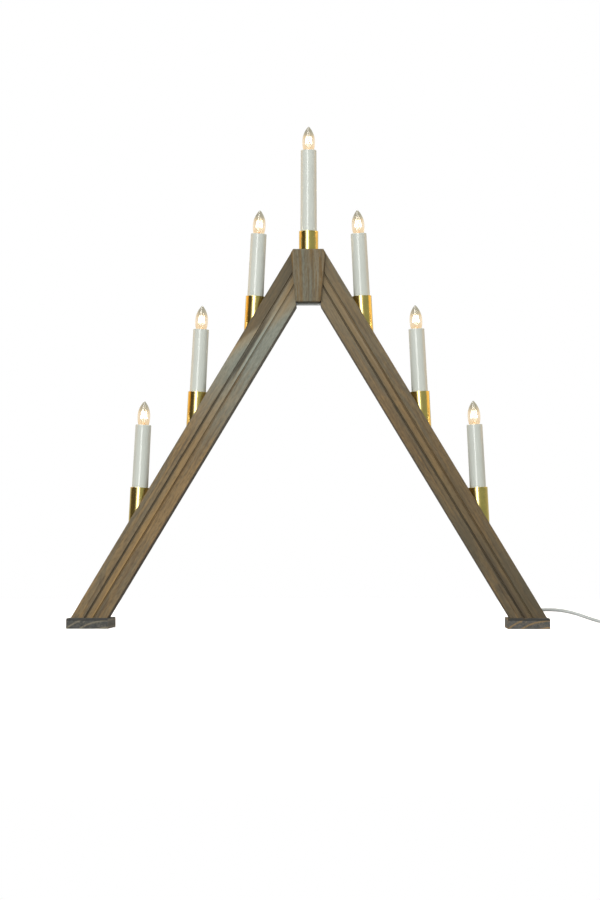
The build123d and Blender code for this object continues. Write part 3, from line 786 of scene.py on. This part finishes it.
def wound_wire(name, material, matrix, turns, radius, pitch, wire):
    """Wire wound round Z: a bulb's screw ridge."""
    sizes = {"Turns": turns, "Radius": radius, "Height": turns * pitch, "Wire radius": wire}
    recipe = Recipe(name, material, sizes)
    spiral_inputs = {
        "Resolution": 28,
        "Rotations": recipe.size("Turns"),
        "Start Radius": recipe.size("Radius"),
        "End Radius": recipe.size("Radius"),
        "Height": recipe.size("Height"),
    }
    spiral = recipe.node("GeometryNodeCurveSpiral", None, spiral_inputs)
    return recipe.mesh(name, recipe.tube(spiral, "Wire radius", 8, True), matrix)


def zigzag_wire(name, material, matrix, bends, span, height, wire):
    """Wire that runs up and down across Z between two posts."""
    sizes = {"Bends": bends, "Spacing": span / (bends - 1), "Height": height, "Wire radius": wire}
    recipe = Recipe(name, material, sizes)
    row = recipe.row("Bends", recipe.vector(x=recipe.size("Spacing")))
    odd = recipe.node("GeometryNodeInputIndex") % 2.0
    lift = recipe.vector(z=odd * recipe.size("Height"))
    zigzag = recipe.node("GeometryNodeSetPosition", None, {"Geometry": row, "Offset": lift})
    line = recipe.node("GeometryNodeMeshToCurve", None, {"Mesh": zigzag})
    return recipe.mesh(name, recipe.tube(line, "Wire radius", 8, True), matrix)


def ribs_along(name, material, matrix, count, span, first_radius, last_radius, rib_radius):
    """Row of round ribs along Z whose radius changes evenly from the first to the last."""
    sizes = {
        "Count": count,
        "Spacing": span / (count - 1),
        "First radius": first_radius,
        "Last radius": last_radius,
        "Rib radius": rib_radius,
    }
    recipe = Recipe(name, material, sizes)
    row = recipe.row("Count", recipe.vector(z=recipe.size("Spacing")))
    radius_inputs = {
        0: recipe.node("GeometryNodeInputIndex"),
        1: 0.0,
        2: recipe.size("Count") - 1.0,
        3: recipe.size("First radius"),
        4: recipe.size("Last radius"),
    }
    radius = recipe.node("ShaderNodeMapRange", None, radius_inputs)
    ring = recipe.node("GeometryNodeCurvePrimitiveCircle", None, {"Resolution": 40, "Radius": 1.0})
    ring_inputs = {"Points": row, "Instance": ring, "Scale": recipe.vector(radius, radius, radius)}
    rings = recipe.node("GeometryNodeInstanceOnPoints", None, ring_inputs)
    curves = recipe.node("GeometryNodeRealizeInstances", None, {"Geometry": rings})
    return recipe.mesh(name, recipe.tube(curves, "Rib radius", 10, False), matrix)


# Operators


class ARCH_OT_wood(bpy.types.Operator):
    """Stain the legs, the key block and the feet"""

    bl_idname = "candle_arch.wood"
    bl_label = "Stained wood"

    def execute(self, context):
        sizes = context.scene.candle_arch_sizes
        colours = context.scene.candle_arch_colours
        dress(leg_wood("left_leg", -1, colours, sizes, 0.96, 0.80, 0.10), "left_leg")
        dress(leg_wood("right_leg", 1, colours, sizes, 0.73, 0.10, 0.70), "right_leg")
        dress(block_wood(colours), "key_block")
        dress(foot_wood("left_foot", colours, sizes, 1.0, shade(colours.wood_cool, 1.7)), "left_foot")
        dress(foot_wood("right_foot", colours, sizes, 1.35, colours.wood_ochre), "right_foot")
        dress(plain_wood(colours), "apex_dowels")
        dress(plated_metal("screw_zinc", colours.nickel, 0.25), "foot_screws")
        return {"FINISHED"}


class ARCH_OT_sleeves(bpy.types.Operator):
    """Turn the brass sleeves"""

    bl_idname = "candle_arch.sleeves"
    bl_label = "Brass sleeves"

    def execute(self, context):
        sizes = context.scene.candle_arch_sizes
        brass = polished_brass(context.scene.candle_arch_colours)
        for seat in SEATS:
            node = f"sleeve_{seat.name}"
            low, high = seat.ends(node)
            radius = max(r for r, _ in seat.profile(node))
            bore = radius - sizes.sleeve_wall
            edge = sizes.sleeve_round
            outline = wall((radius, low), (radius, high - edge))
            outline += arc((radius - edge, high - edge), edge, 0.0, pi / 2, 5)[1:]
            outline += arc((bore + edge, high - edge), edge, pi / 2, pi, 5)[:-1]
            outline += wall((bore, high - edge), (bore, low))
            mesh = turned_mesh(node, outline, True, seat.matrix)
            add_piece(f"brass_{node}", painted(mesh, brass), ARCH, "brass", node)
        return {"FINISHED"}


class ARCH_OT_candles(bpy.types.Operator):
    """Turn the candle tubes"""

    bl_idname = "candle_arch.candles"
    bl_label = "Candle tubes"

    def execute(self, context):
        sizes = context.scene.candle_arch_sizes
        white = candle_white(context.scene.candle_arch_colours)
        for seat in SEATS:
            node = f"candle_{seat.name}"
            low, high = seat.ends(node)
            profile = seat.profile(node)
            foot = max(r for r, z in profile if z < low + 1.0 * MM)
            top = max(r for r, z in profile if z > high - 1.0 * MM)
            mouth = sizes.candle_mouth / 2
            rim = sizes.candle_round
            inner_rim = 0.4 * MM
            outline = wall((foot, low), (top, high - rim))
            outline += arc((top - rim, high - rim), rim, 0.0, pi / 2, 8)[1:]
            outline += arc((mouth + inner_rim, high - inner_rim), inner_rim, pi / 2, pi, 4)
            outline += [(mouth, high - sizes.candle_lip)]
            bore_top = (top - sizes.candle_wall, high - sizes.candle_lip)
            outline += wall(bore_top, (foot - sizes.candle_wall, low))
            mesh = turned_mesh(node, outline, True, seat.matrix)
            add_piece(f"white_{node}", painted(mesh, white), ARCH, "candle_white", node)
        return {"FINISHED"}


def glass_half(neck, low, belly, belly_height, tip, high, inset, foot):
    """Half outline of the olive from its foot to its tip: two arcs that meet at the belly and a ball."""
    neck -= inset
    belly -= inset
    tip_height = high - tip
    tip -= inset
    foot_height = low + foot
    drop = belly_height - foot_height
    lower = ((belly - neck) ** 2 + drop**2) / (2 * (belly - neck))
    rise = tip_height - belly_height
    upper = (belly**2 + rise**2 - tip**2) / (2 * (belly - tip))
    lower_angle = atan2(drop, neck - belly + lower)
    upper_angle = atan2(rise, upper - belly)
    points = [(0.0, foot_height)]
    points += arc((belly - lower, belly_height), lower, -lower_angle, 0.0, 16)
    points += arc((belly - upper, belly_height), upper, 0.0, upper_angle, 22)[1:]
    points += arc((0.0, tip_height), tip, upper_angle, pi / 2, 6)[1:-1]
    return points + [(0.0, tip_height + tip)]


class ARCH_OT_bulbs(bpy.types.Operator):
    """Blow the olive bulbs with their caps and filaments"""

    bl_idname = "candle_arch.bulbs"
    bl_label = "Screw bulbs"

    def execute(self, context):
        sizes = context.scene.candle_arch_sizes
        colours = context.scene.candle_arch_colours
        glass_low, glass_high = SEATS[0].ends(f"bulb_glass_{SEATS[0].name}")
        glass = lit_glass(colours, glass_high - glass_low)
        cap_metal = plated_metal("cap_nickel", colours.nickel, 0.2)
        wire = glowing_wire()
        stem = stem_glass(colours)
        for seat in SEATS:
            self.blow_glass(seat, sizes, glass)
            self.roll_cap(seat, sizes, cap_metal)
            self.mount_filament(seat, sizes, wire, stem, cap_metal)
        return {"FINISHED"}

    def blow_glass(self, seat, sizes, glass):
        """Closed shell of thin glass."""
        node = f"bulb_glass_{seat.name}"
        low, high = seat.ends(node)
        profile = seat.profile(node)
        belly, belly_height = max(profile)
        neck = max(r for r, z in profile if z < low + 0.05 * MM)
        olive = (neck, low, belly, belly_height, sizes.glass_tip, high)
        outer = glass_half(*olive, 0.0, 0.0)
        inner = glass_half(*olive, sizes.glass_wall, sizes.glass_foot)
        mesh = turned_mesh(node, outer + inner[::-1], False, seat.matrix, 72)
        add_piece(f"olive_{seat.name}", painted(mesh, glass), seat.bulb, "clear_glass", node)

    def roll_cap(self, seat, sizes, metal):
        """Cap with a rolled screw ridge, a sloping insulator and a contact button."""
        node = f"bulb_cap_{seat.name}"
        low, high = seat.ends(node)
        radius = max(r for r, _ in seat.profile(node))
        ridge = sizes.thread_wire
        core = radius - ridge
        button = 0.4 * radius
        button_edge = 0.4 * MM
        shoulder = core - 0.6 * MM
        thread_low = low + 2.6 * MM
        thread_room = high - low - 4.2 * MM
        outline = [(0.0, low)]
        outline += arc((button - button_edge, low + button_edge), button_edge, -pi / 2, 0.0, 4)
        outline += [(button, low + 1.2 * MM), (shoulder, low + 2.2 * MM), (core, low + 3.0 * MM)]
        outline += [(core, high - 1.2 * MM), (radius, high - 0.8 * MM), (radius, high), (0.0, high)]
        body = painted(turned_mesh(node, outline, False, seat.matrix, 64), metal)
        place = seat.matrix @ Matrix.Translation((0.0, 0.0, thread_low))
        turns = min(sizes.thread_turns, thread_room / sizes.thread_pitch)
        thread = wound_wire("screw_ridge", metal, place, turns, core, sizes.thread_pitch, ridge)
        add_piece(f"cap_{seat.name}", joined(node, body, thread), seat.bulb, "cap_metal", node)

    def mount_filament(self, seat, sizes, wire, stem, metal):
        """Stem, two posts and the wire that glows between them."""
        node = f"filament_{seat.name}"
        low, high = seat.ends(node)
        profile = seat.profile(node)
        stem_radius = max(r for r, z in profile if z < low + 0.5 * MM)
        stem_top = low + 5.0 * MM
        above_stem = low + 8.0 * MM
        span = max(r for r, z in profile if z > above_stem)
        post_radius = 0.16 * MM
        wire_radius = sizes.filament_wire
        wire_low = low + 9.5 * MM
        height = high - wire_radius - wire_low
        outline = [(0.0, low), (stem_radius, low), (stem_radius, stem_top - 1.2 * MM)]
        outline += arc((stem_radius * 0.3, stem_top - 1.0 * MM), stem_radius * 0.7, 0.0, pi / 2, 6)
        outline += [(0.0, stem_top + 0.05 * MM)]
        stem_mesh = painted(turned_mesh(node, outline, False, seat.matrix, 32), stem)
        posts = []
        for side in (-1, 1):
            foot = Vector((side * stem_radius * 0.5, 0.0, stem_top - 1.5 * MM))
            head = Vector((side * span, 0.0, wire_low))
            posts.append(painted(rod_mesh("post", foot, head, post_radius, seat.matrix), metal))
        place = seat.matrix @ Matrix.Translation((-span, 0.0, wire_low))
        glow = zigzag_wire("glow_wire", wire, place, sizes.filament_bends, 2 * span, height, wire_radius)
        mesh = joined(node, stem_mesh, *posts, glow)
        add_piece(f"glow_{seat.name}", mesh, seat.bulb, "filament", node)


def rod_mesh(name, start, end, radius, matrix):
    """Round rod with closed ends between two points."""
    direction = end - start
    turn = direction.to_track_quat("Z", "Y").to_matrix().to_4x4()
    place = matrix @ Matrix.Translation(start) @ turn
    outline = [(0.0, 0.0), (radius, 0.0), (radius, direction.length), (0.0, direction.length)]
    return turned_mesh(name, outline, False, place, 12)


class ARCH_OT_holders(bpy.types.Operator):
    """Finish the lamp holders, their shells and the insulated leads"""

    bl_idname = "candle_arch.holders"
    bl_label = "Holders and leads"

    def execute(self, context):
        colours = context.scene.candle_arch_colours
        holder = moulded_plastic("holder_white", shade(colours.cord, 0.9), 0.45, 900.0)
        dress(holder, *[f"holder_{seat.name}" for seat in SEATS])
        dress(shell_brass(colours), "holder_shells")
        lead = moulded_plastic("lead_sleeve", colours.cord, 0.35, 1400.0)
        dress(lead, "leg_leads", "seat_leads")
        dress(moulded_plastic("grommet_rubber", shade(colours.cord, 0.9), 0.55, 1200.0), "cord_grommet")
        return {"FINISHED"}


# Route of the mains lead up to where its coil starts
CORD_ROUTE = [
    (0.21904, 0.0024, 0.0200),
    (0.21904, 0.0285, 0.0200),
    (0.2262, 0.0405, 0.0184),
    (0.2385, 0.0472, 0.0178),
    (0.2600, 0.0479, 0.0192),
    (0.2820, 0.0466, 0.0164),
    (0.3035, 0.0444, 0.0084),
    (0.3244, 0.0418, 0.0031),
    (0.3464, 0.0413, 0.0031),
]
CORD_TAIL = [
    (0.3745, 0.0412, 0.0125),
    (0.3880, 0.0277, 0.00685),
    (0.3880, 0.0175, 0.00685),
]
COIL_MIDDLE = (0.350, 0.014)
COIL_OUTER_RADIUS = 27.2 * MM
COIL_PITCH = 4.25 * MM
COIL_BOTTOM = 3.1 * MM
COIL_LAYER_TURNS = (2.75, 2.75, 2.5, 2.5)
COIL_POINTS_A_TURN = 24


def coil_radius_and_height(turn):
    """Radius and height of the wound lead after a number of turns from the outside below."""
    radius = COIL_OUTER_RADIUS
    inwards = -1
    for layer, layer_turns in enumerate(COIL_LAYER_TURNS):
        height = COIL_BOTTOM + layer * COIL_PITCH
        if turn <= layer_turns or layer == len(COIL_LAYER_TURNS) - 1:
            return radius + inwards * COIL_PITCH * turn, height
        turn -= layer_turns
        radius += inwards * COIL_PITCH * layer_turns
        if turn <= 0.5:
            rise = 2 * turn
            swing = turn - 2 * turn**2
            return radius + inwards * COIL_PITCH * swing, height + COIL_PITCH * rise**2 * (3 - 2 * rise)
        turn -= 0.5
        inwards = -inwards


def coil_points():
    """Points along the wound lead."""
    turns = sum(COIL_LAYER_TURNS) + (len(COIL_LAYER_TURNS) - 1) / 2
    points = []
    for step in range(round(turns * COIL_POINTS_A_TURN) + 1):
        turn = step / COIL_POINTS_A_TURN
        radius, height = coil_radius_and_height(turn)
        angle = tau * turn
        points.append(
            (COIL_MIDDLE[0] + radius * sin(angle), COIL_MIDDLE[1] + radius * cos(angle), height)
        )
    return points


class ARCH_OT_cord(bpy.types.Operator):
    """Lay the mains lead with its coil, tie and plug"""

    bl_idname = "candle_arch.cord"
    bl_label = "Mains lead"

    def execute(self, context):
        sizes = context.scene.candle_arch_sizes
        colours = context.scene.candle_arch_colours
        cord_plastic = moulded_plastic("cord_white", colours.cord, 0.38, 1300.0)
        curve = bpy.data.curves.new("mains_lead", "CURVE")
        curve.dimensions = "3D"
        spline = curve.splines.new("NURBS")
        route = CORD_ROUTE + coil_points() + CORD_TAIL
        spline.points.add(len(route) - 1)
        for point, place in zip(spline.points, route):
            point.co = (*place, 1.0)
        spline.order_u = 3
        spline.use_endpoint_u = True
        spline.resolution_u = 4
        curve.bevel_depth = sizes.cord_diameter / 2
        curve.bevel_resolution = 4
        curve.use_fill_caps = True
        curve.materials.append(cord_plastic)
        cord = add_piece("mains_lead", curve, ARCH, "cord_white", "mains_cord", "cord_coil")
        plug_plastic = moulded_plastic("plug_white", shade(colours.cord, 1.02), 0.32, 800.0)
        dress(plug_plastic, "plug_body")
        dress(plated_metal("pin_nickel", colours.nickel, 0.16), "plug_pins")
        dress(moulded_plastic("tie_grey", colours.tie, 0.5, 700.0), "coil_tie")
        ribs = self.mould_ribs(sizes, plug_plastic)
        return {"FINISHED"}

    def mould_ribs(self, sizes, plastic):
        """Ribs round the plug's bend relief."""
        low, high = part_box("plug_body")
        middle = (low.x + high.x) / 2
        place = Matrix.Translation((middle, high.y - 1.5 * MM, (low.z + high.z) / 2))
        backwards = Matrix.Rotation(pi / 2, 4, "X")
        span = 16.0 * MM
        radii = (2.75 * MM, 3.7 * MM, 0.55 * MM)
        mesh = ribs_along("relief_ribs", plastic, place @ backwards, sizes.relief_ribs, span, *radii)
        return add_piece("relief_ribs", mesh, ARCH, "plug_white")


class ARCH_OT_stage(bpy.types.Operator):
    """Set the floor, the lights and the camera"""

    bl_idname = "candle_arch.stage"
    bl_label = "Stage"

    def execute(self, context):
        colours = context.scene.candle_arch_colours
        self.lay_floor(context, colours)
        self.hang_lights(context)
        self.tint_room(context)
        self.place_camera(context)
        context.scene.view_settings.view_transform = "Standard"
        return {"FINISHED"}

    def lay_floor(self, context, colours):
        """Wide pale floor that melts into the white room and throws little light back."""
        finish = Finish("pale_floor", emission_strength=0.75, roughness=0.8, specular_ior_level=0.1)
        place = finish.object_place()
        seen = finish.ray("Camera")
        speckle = finish.noise(place, scale=60.0)
        pale = finish.tones(speckle, colours.floor, (0.3, 0.99), (0.7, 1.0))
        finish.feed("Base Color", finish.mix(seen, shade(colours.floor, 0.35), pale))
        finish.feed("Emission Color", finish.mix(seen, BLACK, WHITE))
        reach = finish.node("ShaderNodeVectorMath", {"operation": "LENGTH"}, {0: place}, output="Value")
        clear = finish.node("ShaderNodeBsdfTransparent")
        solid = Value(finish, finish.shader.outputs[0])
        blend = finish.node("ShaderNodeMixShader", None, {0: reach.rise(0.9, 2.2), 1: solid, 2: clear})
        finish.tree.links.new(blend.socket, finish.tree.nodes["Material Output"].inputs["Surface"])
        outline = [(4.0, 0.0), (0.0, 0.0)]
        mesh = turned_mesh("floor", outline, False, Matrix.Identity(4), 64)
        floor = bpy.data.objects.new("floor", painted(mesh, finish.material))
        context.scene.collection.objects.link(floor)

    def hang_lights(self, context):
        """Soft boxes all round, which metal doesn't mirror, and a warm card at each side, which it does."""
        white = (1.0, 1.0, 1.0)
        amber = (1.0, 0.50, 0.07)
        aim = Vector((0.0, 0.0, 0.28))
        for name, place, width, height, power, tint in (
            ("front_box", (-0.62, -3.5, 0.65), 1.25, 1.10, 46.0, white),
            ("left_box", (-1.7, -2.1, 1.1), 1.20, 1.20, 20.0, white),
            ("right_box", (1.9, -2.1, 0.9), 1.40, 1.40, 12.0, white),
            ("back_box", (0.15, 3.4, 1.0), 1.00, 1.20, 42.0, white),
            ("top_box", (0.10, 0.20, 2.4), 1.20, 1.00, 12.0, white),
            ("left_card", (-1.3, 0.50, 0.83), 1.20, 1.00, 3.6, amber),
            ("right_card", (1.3, 0.45, 0.81), 1.20, 1.00, 3.6, amber),
        ):
            light = bpy.data.lights.new(name, "AREA")
            light.shape = "RECTANGLE"
            light.size = width
            light.size_y = height
            light.energy = power
            light.color = tint
            lamp = bpy.data.objects.new(name, light)
            lamp.location = place
            facing = aim - Vector(place)
            if tint is amber:
                facing.z = 0.0
            lamp.rotation_euler = facing.to_track_quat("-Z", "Y").to_euler()
            lamp.visible_camera = False
            lamp.visible_glossy = tint is amber
            lamp.visible_transmission = False
            context.scene.collection.objects.link(lamp)

    def tint_room(self, context):
        """White room that mirrors as a dark front with a window, its bright pane and a pale back."""
        world = bpy.data.worlds.new("room")
        world.use_nodes = True
        context.scene.world = world
        room = Shading(world.node_tree)
        right, back, up = room.split(room.node("ShaderNodeTexCoord", output="Generated"))
        front_right = room.mix(right.rise(0.0, 0.45), tint(0.66, 0.68, 0.54), tint(0.33, 0.37, 0.27))
        mirrored = room.coats(
            room.mix(right.rise(-0.10, 0.02), tint(0.080, 0.070, 0.042), front_right),
            (right.between(-0.74, -0.42, -0.06, 0.10), tint(0.95, 0.95, 0.88)),
            (right.between(-0.44, -0.34, -0.12, -0.02), tint(5.8, 5.8, 5.7)),
            (back.rise(0.30, 0.60), tint(0.58, 0.58, 0.48)),
            (back.rise(0.76, 0.94), tint(0.62, 0.60, 0.50)),
        )
        soft = room.mix(up.rise(0.25, 0.80), tint(0.40, 0.40, 0.40), tint(0.14, 0.14, 0.14))
        tone = room.coats(
            WHITE,
            (room.ray("Diffuse"), soft),
            (room.ray("Transmission"), tint(0.52, 0.52, 0.49)),
            (room.ray("Glossy"), mirrored),
        )
        room.tree.links.new(tone.socket, room.tree.nodes["Background"].inputs["Color"])

    def place_camera(self, context):
        """Camera at the photograph's place: low, right of the middle, far off."""
        lens = bpy.data.cameras.new("camera")
        lens.sensor_fit = "VERTICAL"
        lens.sensor_height = 36.0
        lens.lens = 116.2
        lens.clip_end = 50.0
        camera = bpy.data.objects.new("camera", lens)
        camera.location = (0.086, -3.094, 0.075)
        camera.rotation_euler = (radians(90.0 + 2.118), 0.0, radians(1.763))
        context.scene.collection.objects.link(camera)
        context.scene.camera = camera


OPERATORS = (
    ARCH_OT_stage,
    ARCH_OT_cord,
    ARCH_OT_wood,
    ARCH_OT_sleeves,
    ARCH_OT_candles,
    ARCH_OT_bulbs,
    ARCH_OT_holders,
)


class ARCH_PT_panel(bpy.types.Panel):
    """Steps and settings of the candle arch"""

    bl_idname = "ARCH_PT_panel"
    bl_label = "Candle arch"
    bl_space_type = "VIEW_3D"
    bl_region_type = "UI"
    bl_category = "Candle arch"

    def draw(self, context):
        layout = self.layout
        for operator in OPERATORS:
            layout.operator(operator.bl_idname)
        for group in (context.scene.candle_arch_sizes, context.scene.candle_arch_colours):
            box = layout.box()
            for name in group.__annotations__:
                box.prop(group, name)


CLASSES = (CandleArchSizes, CandleArchColours, *OPERATORS, ARCH_PT_panel)


def register():
    """Register the classes and hang the settings on the scene."""
    for entry in CLASSES:
        bpy.utils.register_class(entry)
    bpy.types.Scene.candle_arch_sizes = PointerProperty(type=CandleArchSizes)
    bpy.types.Scene.candle_arch_colours = PointerProperty(type=CandleArchColours)


def unregister():
    """Take the settings and the classes away again."""
    del bpy.types.Scene.candle_arch_colours
    del bpy.types.Scene.candle_arch_sizes
    for entry in reversed(CLASSES):
        bpy.utils.unregister_class(entry)


def main():
    """Build every piece in order."""
    register()
    bpy.ops.candle_arch.stage()
    bpy.ops.candle_arch.cord()
    bpy.ops.candle_arch.wood()
    bpy.ops.candle_arch.sleeves()
    bpy.ops.candle_arch.candles()
    bpy.ops.candle_arch.bulbs()
    bpy.ops.candle_arch.holders()


if __name__ == "__main__":
    main()
